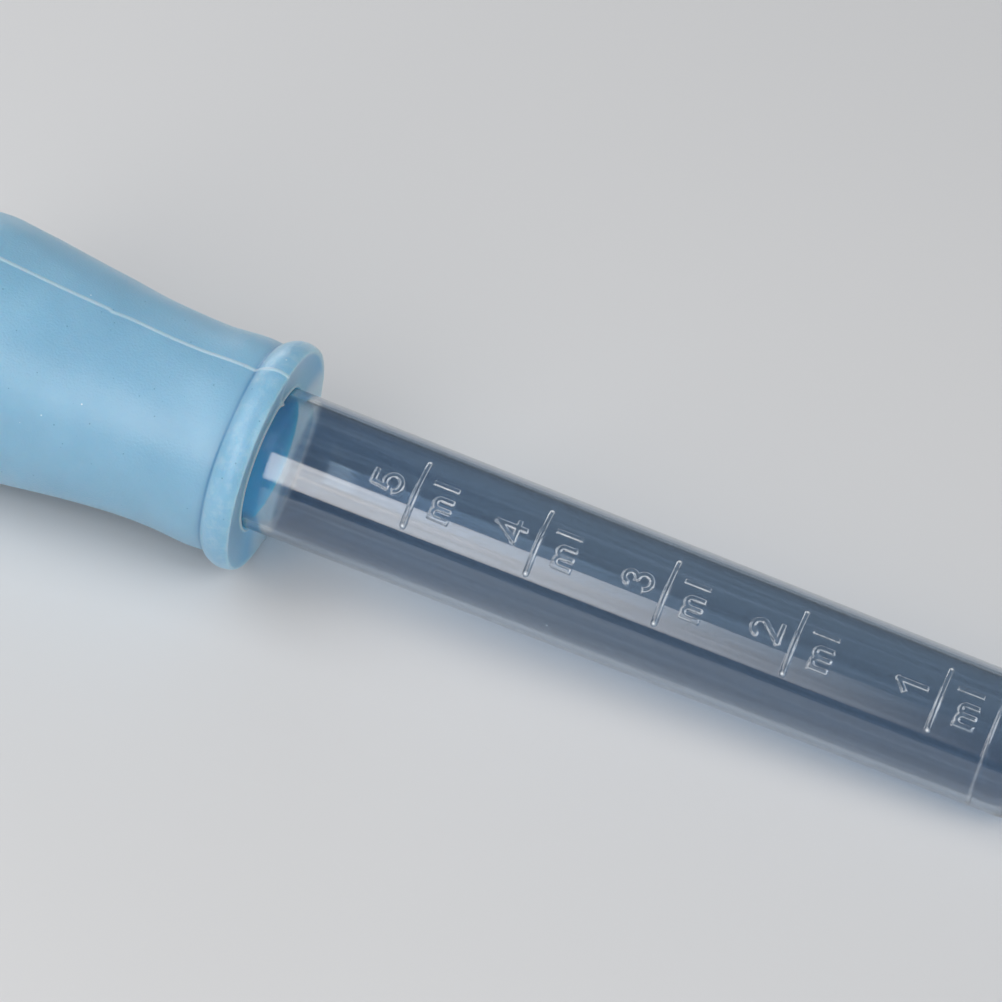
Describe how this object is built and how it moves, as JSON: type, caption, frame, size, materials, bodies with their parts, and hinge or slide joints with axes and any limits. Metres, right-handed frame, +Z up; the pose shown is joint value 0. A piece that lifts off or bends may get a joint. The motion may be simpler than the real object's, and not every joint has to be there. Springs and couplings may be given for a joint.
{
  "type": "dropper pipette",
  "caption": "Squeeze-bulb dropper pipette: soft bulb with a beaded rim over a clear tapered tube with raised millilitre lines and a slender open nozzle, lying on its side.",
  "frame": {"origin": "centre of the bounding box's base, on the surface that the pipette lies on", "axes": "+X from the bulb towards the nozzle, +Z up; the pipette's own axis lies in the XZ plane and slopes 3.68 degrees down towards the tip; the measuring marks face up and towards -Y"},
  "size_m": [0.1598, 0.0224, 0.0231],
  "materials": {
    "silicone": "satin",
    "clear_plastic": "clear, slightly milky"
  },
  "bodies": {
    "root": {"bulb": "silicone", "tube": "clear_plastic"}
  },
  "joints": []
}
